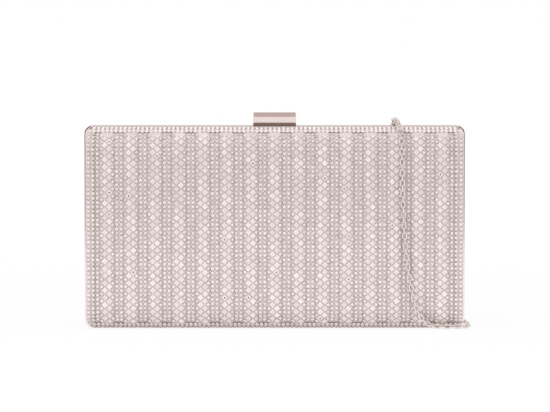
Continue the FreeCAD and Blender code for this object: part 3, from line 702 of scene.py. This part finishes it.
def rounded_block(cover, under, back, corner, roll_steps):
    """Tray block some way under a cover, and its box.

    Its face is rolled into top and bottom, its corners are rounded and it is open at the back.
    """
    front = cover.side * (cover.far - under)
    half = cover.half_width - under
    low = Vector((-half, min(front, back), cover.bottom + under))
    high = Vector((half, max(front, back), cover.top - under))
    size = high - low
    middle = (low + high) / 2
    bm = bmesh.new()
    bmesh.ops.create_cube(bm, size=1.0, matrix=Matrix.Translation(middle) @ Matrix.Diagonal((*size, 1)))

    def on_face(vert):
        return abs(vert.co.y - front) < NEAR_ENOUGH

    long = [
        edge for edge in bm.edges
        if all(on_face(vert) for vert in edge.verts)
        and abs(edge.verts[0].co.x - edge.verts[1].co.x) > NEAR_ENOUGH
    ]
    bmesh.ops.bevel(
        bm, geom=long, offset=cover.roll - under, offset_type="OFFSET", segments=roll_steps,
        profile=0.5, affect="EDGES", material=-1,
    )
    for x, z in ((low.x, low.z), (low.x, high.z), (high.x, low.z), (high.x, high.z)):
        away = Vector((math.copysign(1, x - middle.x), 0, math.copysign(1, z - middle.z)))
        centre = Vector((x, 0, z)) - away * corner
        for step in range(CORNER_STEPS if corner > 0 else 0):
            turn = (step + 0.5) * math.pi / 2 / CORNER_STEPS
            out = Vector((away.x * math.cos(turn), 0, away.z * math.sin(turn)))
            bmesh.ops.holes_fill(bm, edges=slice_off(bm, centre + out * corner, out))
    open_faces = [
        face for face in bm.faces if all(abs(vert.co.y - back) < NEAR_ENOUGH for vert in face.verts)
    ]
    bmesh.ops.delete(bm, geom=open_faces, context="FACES")
    face_outward(bm)
    return bm, low, high


class BAG_OT_cover(bpy.types.Operator):
    """Stone mesh of both halves: studs in zigzag stripes, round stones between, a border strip above"""
    bl_idname = "bag.cover"
    bl_label = "Stone cover"

    def execute(self, context):
        sizes = context.scene.bag_stones
        colours = context.scene.bag_finishes
        covers = [Cover(name, sizes) for name in SIDES]
        # Colours of the painted dark reflection and of the painted bottom shade, and the cover whose
        # bottom edge is shaded.
        painted_reflection_and_shade = (colours.dark_reflection[:], colours.bottom_stone_shade[:], covers[0])
        finishes = {
            name: stone_finish(f"{name}_finish", pale[:], deep[:], rim[:], *painted_reflection_and_shade)
            for name, pale, deep, rim in (
                ("stone", colours.stone, colours.stone_deep, colours.cup),
                ("stud", colours.mirror, colours.mirror_deep, colours.mirror_cup_shade),
                ("border", colours.mirror, colours.stone, colours.mirror_cup_shade),
            )
        }
        cloth = cloth_finish(
            "net_cloth", colours.cloth[:], colours.cloth_pale[:], colours.edge_shade_and_seam[:], covers[0],
            sizes.stripe_pitch,
        )
        for seed, cover in enumerate(covers):
            self.lay_stones(cover, sizes, finishes, seed)
            self.lay_cloth(cover, sizes, cloth)
        return {"FINISHED"}

    def lay_stones(self, cover, sizes, finishes, seed):
        """Every stone of one half."""
        first = cover.first_stripe

        def rows_through(height, pitch, width):
            """Place of the first row under the seam, and how many rows follow it down to the hem."""
            known = cover.across(height)
            start = known - pitch * int((known - cover.seam - width * ROW_CLEAR) / pitch)
            return start, int((cover.hem - width * ROW_CLEAR - start) / pitch) + 1

        start, rows = rows_through(sizes.round_height, sizes.round_pitch, sizes.round_stone)
        pitch, stud_pitch = sizes.round_pitch, sizes.stud_pitch
        across = sizes.stud * STUD_DIAGONAL
        stud_start, stud_rows = rows_through(sizes.stud_height, stud_pitch, across)
        half_start, half_rows = rows_through(sizes.stud_height + stud_pitch / 2, stud_pitch, across)
        edge_first = first - sizes.round_aside
        edge_columns = [edge_first - pitch * count for count in (1, 2)]
        border_columns = int(2 * cover.half_width / pitch)
        border_rows = int(cover.seam / pitch)
        border_u = -pitch * (border_columns - 1) / 2
        border_s = cover.seam - sizes.round_stone * BORDER_CLEAR - pitch * (border_rows - 1)
        hem_s = cover.hem + sizes.round_stone * HEM_CLEAR

        large = (round_stone, sizes.round_stone)
        small = (round_stone, sizes.notch_stone)
        stud = (square_stud, sizes.stud)
        left, right = first - sizes.stud_aside, first + sizes.stud_aside
        left_notch, right_notch = first - sizes.notch_aside, first + sizes.notch_aside
        round_sides = [(first - sizes.round_aside, start), (first + sizes.round_aside, start)]
        edge_starts = [(sign * u, start) for u in edge_columns for sign in (1, -1)]
        stripes = (sizes.stripe_pitch, sizes.stripes)
        even = (stud_pitch, stud_rows, *stripes)
        odd = (stud_pitch, half_rows, *stripes)
        low = sizes.stripe_rise
        columns = (pitch, border_columns)
        plans = [
            ("round_stones", large, round_sides, pitch, rows, *stripes, low),
            ("edge_stones", large, edge_starts, pitch, rows, 0, 1, 0),
            ("left_notch_stones", small, [(left_notch, half_start)], *odd, 0),
            ("right_notch_stones", small, [(right_notch, stud_start)], *even, 0),
            ("left_studs", stud, [(left, stud_start)], *even, 0),
            ("right_studs", stud, [(right, half_start)], *odd, 0),
            ("border_stones", large, [(border_u, border_s)], pitch, border_rows, *columns, 0),
            ("hem_stones", large, [(border_u, hem_s)], pitch, border_rows, *columns, 0),
        ]

        def takes(place):
            return cover.takes(place, sizes.round_stone)

        for count, (name, (make, width), starts, *grid, drop) in enumerate(plans):
            bm = set_out(make(width, sizes.stone_tall), starts, *grid)
            eye = width * EYE_SHARE if make is square_stud else 0
            settle(bm, cover.surface(drop), sizes, 10 * seed + count, takes, eye)
            kind, node = "stud" if make is square_stud else "stone", cover.face_node
            if name == "border_stones":
                kind, node = "border", f"{cover.name}_crystal_border"
            finish_piece(bm, f"{cover.name}_{name}", finishes[kind], cover.body, "crystal_mesh", node)
        for sign, name in ((-1, "left"), (1, "right")):
            bm = self.end_stones(cover, sizes)
            settle(bm, cover.end(sign), sizes, 10 * seed + 8 + sign, takes, 0)
            whole_name = f"{cover.name}_{name}_end_stones"
            finish_piece(bm, whole_name, finishes["stone"], cover.body, "crystal_mesh", cover.face_node)

    def end_stones(self, cover, sizes):
        """Stones of one upright end, flat: long columns near the frame, shorter ones by the roll."""
        pitch = sizes.round_pitch
        parts = []
        for column in range(END_COLUMNS):
            depth = cover.near + sizes.round_stone + pitch * column
            beyond = max(0.0, depth + sizes.round_stone / 2 - (cover.far - cover.roll))
            drop = cover.roll - math.sqrt(cover.roll ** 2 - min(beyond, cover.roll) ** 2)
            shy = max(cover.corner, drop) + sizes.round_stone * END_CLEAR
            rows = int((cover.top - cover.bottom - 2 * shy) / pitch) + 1
            low = (cover.top + cover.bottom - pitch * (rows - 1)) / 2
            stone = round_stone(sizes.round_stone, sizes.stone_tall)
            parts.append(set_out(stone, [(depth, low)], pitch, rows, 0, 1))
        return joined(parts)

    def lay_cloth(self, cover, sizes, finish):
        """Net of one half: a low one all over, with bands under studs, edges, border and hem."""
        edge = cover.half_width - cover.corner
        strip = self.band(cover, sizes, -sizes.stripe_half, sizes.stripe_half)
        seam = (0, 0, cover.seam_height)
        hem = (0, 0, cover.hem_height)
        up, down = (0, 0, 1), (0, 0, -1)
        slice_off(strip, seam, up)
        slice_off(strip, hem, down)
        bmesh.ops.solidify(strip, geom=strip.faces[:], thickness=sizes.stripe_rise)
        bmesh.ops.translate(strip, verts=strip.verts[:], vec=(cover.first_stripe, 0, 0))
        array(strip, (sizes.stripe_pitch, 0, 0), sizes.stripes)
        crest = self.band(cover, sizes, -edge, edge)
        slice_off(crest, seam, down)
        foot = self.band(cover, sizes, -edge, edge)
        slice_off(foot, hem, up)
        parts = [
            self.net(cover, sizes.bed + sizes.stripe_rise),
            crest,
            foot,
            self.band(cover, sizes, -cover.half_width, -edge),
            self.band(cover, sizes, edge, cover.half_width),
        ]
        for name, bm in (("net", joined(parts)), ("stripe_net", strip)):
            whole_name = f"{cover.name}_{name}"
            finish_piece(bm, whole_name, finish, cover.body, "crystal_mesh", cover.face_node)

    def net(self, cover, under):
        """Net over the whole of one half, some way under the cover's surface."""
        return rounded_block(cover, under, cover.side * cover.near, cover.corner - under, 14)[0]

    def band(self, cover, sizes, left, right):
        """Raised net between two places along the bag."""
        bm = self.net(cover, sizes.bed)
        for place, way in ((left, -1), (right, 1)):
            slice_off(bm, (place, 0, 0), (way, 0, 0))
        return bm


class BAG_OT_metalwork(bpy.types.Operator):
    """Finish of the frame, hinge, clasp, chain mounts and shells"""
    bl_idname = "bag.metalwork"
    bl_label = "Metalwork"

    def execute(self, context):
        colours = context.scene.bag_finishes
        polished = metal_finish("polished_metal", colours.metal[:], 0.10)
        finishes = {
            "frame": metal_finish("frame_metal", colours.frame[:], 0.10),
            "shell": moulded_finish("moulded_shell", colours.shell[:]),
            # Painted shade: the guard's dark colour stands for the shade under the press bar.
            "guard": moulded_finish("shade_under_bar_strip", colours.dark[:]),
        }
        for name, node in frame["nodes"].items():
            node.data.materials.clear()
            node.data.materials.append(finishes.get(name.split("_")[-1], polished))
        return {"FINISHED"}


def line_of(route):
    """Points along the smooth curve that has a route as its control points."""
    curve = bpy.data.curves.new("route", "CURVE")
    curve.dimensions = "3D"
    spline = curve.splines.new("NURBS")
    spline.points.add(len(route) - 1)
    for point, place in zip(spline.points, route):
        point.co = (*place, 1)
    spline.order_u = 3
    spline.use_endpoint_u = True
    spline.resolution_u = 16
    thing = bpy.data.objects.new("route", curve)
    mesh = bpy.data.meshes.new_from_object(thing)
    points = [vert.co.copy() for vert in mesh.vertices]
    bpy.data.meshes.remove(mesh)
    bpy.data.objects.remove(thing)
    bpy.data.curves.remove(curve)
    return points


def link_mesh(width, wire, pitch):
    """One oval link lying in the XY plane, long along Y."""
    bm = bmesh.new()
    middle = (width - wire) / 2
    stand = Matrix.Translation((middle, 0, 0)) @ Matrix.Rotation(math.pi / 2, 4, "X")
    bmesh.ops.create_circle(bm, radius=wire / 2, segments=8, matrix=stand)
    bmesh.ops.spin(
        bm, geom=bm.verts[:] + bm.edges[:], cent=(0, 0, 0), axis=(0, 0, 1), angle=2 * math.pi, steps=16,
        use_merge=True,
    )
    stretch = (pitch + wire) / 2 - middle
    for sign in (-1, 1):
        half = [vert for vert in bm.verts if vert.co.y * sign > wire * 0.01]
        bmesh.ops.translate(bm, verts=half, vec=(0, sign * stretch, 0))
    face_outward(bm)
    return mesh_of(bm, "link")


def stations(points, pitch):
    """Place and heading at even steps along a line."""
    gone = pitch / 2
    found = []
    for start, end in zip(points, points[1:]):
        run = (end - start).length
        while gone <= run:
            found.append((start.lerp(end, gone / run), (end - start).normalized()))
            gone += pitch
        gone -= run
    return found


class BAG_OT_chain(bpy.types.Operator):
    """Both legs of the chain, link by link along their routes"""
    bl_idname = "bag.chain"
    bl_label = "Chain"

    def execute(self, context):
        sizes = context.scene.bag_chain
        finish = metal_finish("chain_metal", context.scene.bag_finishes.chain[:], 0.16)
        link = link_mesh(sizes.width, sizes.wire, sizes.pitch)
        for name, points in CHAIN_ROUTES.items():
            route = [tuple(part / TENTHS_IN_METRE for part in point) for point in points]
            line = line_of(route)
            bm = bmesh.new()
            aside = Vector((1, 0, 0))
            for count, (place, heading) in enumerate(stations(line, sizes.pitch)):
                aside = (aside - heading * aside.dot(heading)).normalized()
                out = aside.cross(heading)
                turned = Matrix((aside, heading, out)).transposed().to_4x4()
                roll = Matrix.Rotation(sizes.lean + count * math.pi / 2, 4, "Y")
                copy = link.copy()
                copy.transform(Matrix.Translation(place) @ turned @ roll)
                bm.from_mesh(copy)
                bpy.data.meshes.remove(copy)
            smooth(bm)
            piece = finish_piece(
                bm, f"{name}_chain", finish, f"{name}_half", "rose_metal", f"chain_{name}_leg"
            )
            whole = sum((end - start).length for start, end in zip(line, line[1:]))
            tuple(route[0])
        bpy.data.meshes.remove(link)
        return {"FINISHED"}


class BAG_OT_lining(bpy.types.Operator):
    """Satin linings of both halves, each a tray with a flange, and the slip pocket"""
    bl_idname = "bag.lining"
    bl_label = "Lining"

    def execute(self, context):
        sizes = context.scene.bag_lining
        satin = satin_finish("satin", context.scene.bag_finishes.satin[:])
        for name in SIDES:
            self.line_half(Cover(name, context.scene.bag_stones), sizes, satin)
        self.make_pocket(sizes, satin)
        return {"FINISHED"}

    def line_half(self, cover, sizes, finish):
        """Lining of one half."""
        node = f"{cover.name}_lining"
        outer_low, outer_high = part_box(node)
        mouth = cover.side * (min(abs(outer_low.y), abs(outer_high.y)) + sizes.sheet)
        bm, low, high = rounded_block(cover, sizes.inset, mouth, sizes.corner, 8)
        open_edges = [edge for edge in bm.edges if edge.is_boundary]
        rim = bmesh.ops.extrude_edge_only(bm, edges=open_edges)["geom"]
        flange = [part for part in rim if isinstance(part, bmesh.types.BMVert)]
        middle = (outer_low + outer_high) / 2
        spread = (
            (outer_high.x - sizes.sheet) / high.x,
            1.0,
            (outer_high.z - middle.z - sizes.sheet) / (high.z - middle.z),
        )
        bmesh.ops.scale(bm, vec=spread, space=Matrix.Translation(-middle), verts=flange)
        face_outward(bm)
        bmesh.ops.reverse_faces(bm, faces=bm.faces[:])
        cut = sum(face.calc_area() for face in bm.faces)
        bmesh.ops.solidify(bm, geom=bm.faces[:], thickness=sizes.sheet)
        lining = finish_piece(bm, f"{cover.name}_satin", finish, cover.body, "satin_lining", node)

    def make_pocket(self, sizes, finish):
        """Slip pocket with rounded corners, its mouth a little open."""
        low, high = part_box("rear_pocket")
        wide = high.x - low.x
        tall = high.z - low.z
        round_off = sizes.pocket_corner
        stand = Matrix.Rotation(math.pi / 2, 4, "X") @ Matrix.Diagonal((wide, tall, 1, 1))
        bm = bmesh.new()
        bmesh.ops.create_grid(bm, x_segments=32, y_segments=40, size=0.5, matrix=stand)
        for vert in bm.verts:
            x, z = vert.co.x, vert.co.z
            bulge = (1 - (2 * x / wide) ** 2) * (0.5 + z / tall) ** 2
            over = max(0.0, abs(x) - wide / 2 + round_off)
            past = max(0.0, abs(z) - tall / 2 + round_off)
            draw = max(over, past) / math.hypot(over, past) if over and past else 1.0
            vert.co.x -= math.copysign(over * (1 - draw), x)
            vert.co.z -= math.copysign(past * (1 - draw), z)
            vert.co.y = -sizes.pocket_slack * bulge
            if z > tall / 2 - sizes.hem:
                vert.co.y -= sizes.hem_rise
        bmesh.ops.translate(bm, verts=bm.verts[:], vec=(0, low.y, (low.z + high.z) / 2))
        face_outward(bm)
        bmesh.ops.solidify(bm, geom=bm.faces[:], thickness=sizes.sheet)
        pocket = finish_piece(bm, "slip_pocket", finish, "rear_half", "satin_lining", "rear_pocket")


class BAG_OT_springs(bpy.types.Operator):
    """Return springs under the press bar"""
    bl_idname = "bag.springs"
    bl_label = "Return springs"

    def execute(self, context):
        sizes = context.scene.bag_lining
        steel = metal_finish("spring_steel", context.scene.bag_finishes.steel[:], 0.22)
        low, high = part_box("clasp_springs")
        steps = 16 * sizes.spring_turns
        climb = (high.z - low.z - sizes.spring_wire) / steps
        parts = []
        for place in (low.x + sizes.spring_radius, high.x - sizes.spring_radius):
            middle = Vector((place, (low.y + high.y) / 2, low.z + sizes.spring_wire / 2))
            bm = bmesh.new()
            start = Matrix.Translation(middle + Vector((sizes.spring_radius, 0, 0)))
            stand = start @ Matrix.Rotation(math.pi / 2, 4, "X")
            bmesh.ops.create_circle(bm, radius=sizes.spring_wire / 2, segments=6, matrix=stand)
            bmesh.ops.spin(
                bm, geom=bm.verts[:] + bm.edges[:], cent=middle, axis=(0, 0, 1), dvec=(0, 0, climb),
                angle=2 * math.pi * sizes.spring_turns, steps=steps,
            )
            bmesh.ops.holes_fill(bm, edges=bm.edges[:], sides=6)
            parts.append(bm)
        bm = joined(parts)
        face_outward(bm)
        smooth(bm)
        piece = finish_piece(bm, "return_springs", steel, "rear_half", "spring_steel", "clasp_springs")
        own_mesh(piece)
        return {"FINISHED"}


class BAG_OT_stage(bpy.types.Operator):
    """Floor, surrounding light, lamps and camera"""
    bl_idname = "bag.stage"
    bl_label = "Stage"

    def execute(self, context):
        sizes = context.scene.bag_stage
        scene = context.scene
        scene.view_settings.view_transform = "Standard"
        self.make_world(scene, sizes)
        self.make_floor(sizes)
        self.make_cards()
        self.make_lamps()
        self.make_camera(scene, sizes)
        return {"FINISHED"}

    def make_world(self, scene, sizes):
        """Even light, and plain white where it is seen: straight, mirrored or through glass."""
        world = bpy.data.worlds.new("white_surround")
        scene.world = world
        tree = Tree(world)
        path = tree.node("ShaderNodeLightPath")
        rays = path.out("Is Camera Ray") + path.out("Is Glossy Ray") + path.out("Is Transmission Ray")
        seen = tree.node("ShaderNodeClamp", {}, {"Value": rays})
        strength = seen * (1 - sizes.ambient) + sizes.ambient
        light = tree.node("ShaderNodeBackground", {}, {"Color": WHITE, "Strength": strength})
        tree.node("ShaderNodeOutputWorld", {}, {"Surface": light})

    def make_floor(self, sizes):
        """White floor with a faint shadow; the open front half swings below it and shows through."""
        bm = bmesh.new()
        bmesh.ops.create_grid(bm, x_segments=1, y_segments=1, size=FLOOR_HALF)
        tree = new_material("white_floor")
        matt = tree.node("ShaderNodeBsdfDiffuse", {}, {"Color": (0.9, 0.9, 0.9)})
        white = tree.node("ShaderNodeEmission", {}, {"Color": WHITE, "Strength": 1.0})
        away = tree.node("ShaderNodeVectorMath", {"operation": "LENGTH"}, {0: object_coordinates(tree)})
        share = fade(tree, away, *FLOOR_FADE, sizes.floor_white, 1.0)
        path = tree.node("ShaderNodeLightPath")
        mirrored = path.out("Is Glossy Ray") + path.out("Is Transmission Ray")
        lit = tree.node("ShaderNodeMixShader", {}, {0: mirrored * share, 1: matt, 2: white})
        clear = tree.node("ShaderNodeBsdfTransparent")
        under = tree.node("ShaderNodeNewGeometry").out("Backfacing")
        through = tree.node("ShaderNodeClamp", {}, {"Value": under + path.out("Is Camera Ray") * share})
        made = tree.surface(tree.node("ShaderNodeMixShader", {}, {0: through, 1: lit, 2: clear}))
        add_object(bm, "floor", made)

    def make_cards(self):
        """Toned cards outside the picture that only the polished surfaces mirror."""
        for name, place, size, tint in (
            ("overhead_card", (0, 0, 1.1), (0.8, 0.5), (0.62, 0.54, 0.52)),
            ("left_card", (-1.1, 0, 0.1), (0.5, 0.5), (0.40, 0.32, 0.30)),
            ("right_card", (1.1, 0, 0.1), (0.5, 0.5), (0.40, 0.32, 0.30)),
            ("upper_left_card", (-0.84, 0, 0.76), (0.5, 1.05), (0.10, 0.055, 0.04)),
            ("upper_right_card", (0.84, 0, 0.76), (0.5, 1.05), (0.10, 0.055, 0.04)),
        ):
            tree = new_material(name)
            glow = tree.node("ShaderNodeEmission", {}, {"Color": tint, "Strength": 1.0})
            bm = bmesh.new()
            towards = Vector((0, place[1], MIDDLE)) - Vector(place)
            turned = towards.to_track_quat("-Z", "Y").to_matrix().to_4x4()
            across = Matrix.Translation(place) @ turned @ Matrix.Diagonal((*size, 1, 1))
            bmesh.ops.create_grid(bm, x_segments=1, y_segments=1, size=0.5, matrix=across)
            card = add_object(bm, name, tree.surface(glow))
            card.visible_camera = False
            card.visible_diffuse = False
            card.visible_shadow = False
            card.visible_transmission = False

    def make_lamps(self):
        for name, place, width, power in (
            ("top_box", (-0.2, -0.7, 1.3), 1.4, 9.0),
            ("left_box", (-1.3, -0.9, 0.7), 1.2, 5.0),
            ("right_box", (1.3, -0.9, 0.7), 1.2, 4.0),
        ):
            lamp = bpy.data.lights.new(name, "AREA")
            lamp.size = width
            lamp.energy = power
            towards = Vector((0, 0, MIDDLE)) - Vector(place)
            stand(name, lamp, place, towards).visible_glossy = False

    def make_camera(self, scene, sizes):
        camera = bpy.data.cameras.new("camera")
        camera.lens = sizes.lens
        camera.sensor_width = 36.0
        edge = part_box("front_frame")[0].y
        aim = Vector((sizes.aim_right, edge, sizes.aim_height))
        back = Vector((0, -math.cos(sizes.elevation), math.sin(sizes.elevation)))
        scene.camera = stand("camera", camera, aim + back * sizes.distance, -back)


class BAG_PT_panel(bpy.types.Panel):
    """Operators of the bag, in the order in which they run"""
    bl_idname = "BAG_PT_panel"
    bl_label = "Minaudiere"
    bl_space_type = "VIEW_3D"
    bl_region_type = "UI"
    bl_category = "Minaudiere"

    def draw(self, context):
        for operator in OPERATORS:
            self.layout.operator(operator.bl_idname)


GROUPS = {
    "bag_stones": StoneSizes,
    "bag_chain": ChainSizes,
    "bag_lining": LiningSizes,
    "bag_finishes": Finishes,
    "bag_stage": StageSizes,
}
OPERATORS = (BAG_OT_stage, BAG_OT_metalwork, BAG_OT_springs, BAG_OT_lining, BAG_OT_chain, BAG_OT_cover)
CLASSES = (*GROUPS.values(), *OPERATORS, BAG_PT_panel)


def register():
    for made in CLASSES:
        bpy.utils.register_class(made)
    for name, made in GROUPS.items():
        setattr(bpy.types.Scene, name, PointerProperty(type=made))


def unregister():
    for name in GROUPS:
        delattr(bpy.types.Scene, name)
    for made in reversed(CLASSES):
        bpy.utils.unregister_class(made)


def main():
    register()
    bpy.ops.bag.stage()
    bpy.ops.bag.metalwork()
    bpy.ops.bag.springs()
    bpy.ops.bag.lining()
    bpy.ops.bag.chain()
    bpy.ops.bag.cover()


if __name__ == "__main__":
    main()
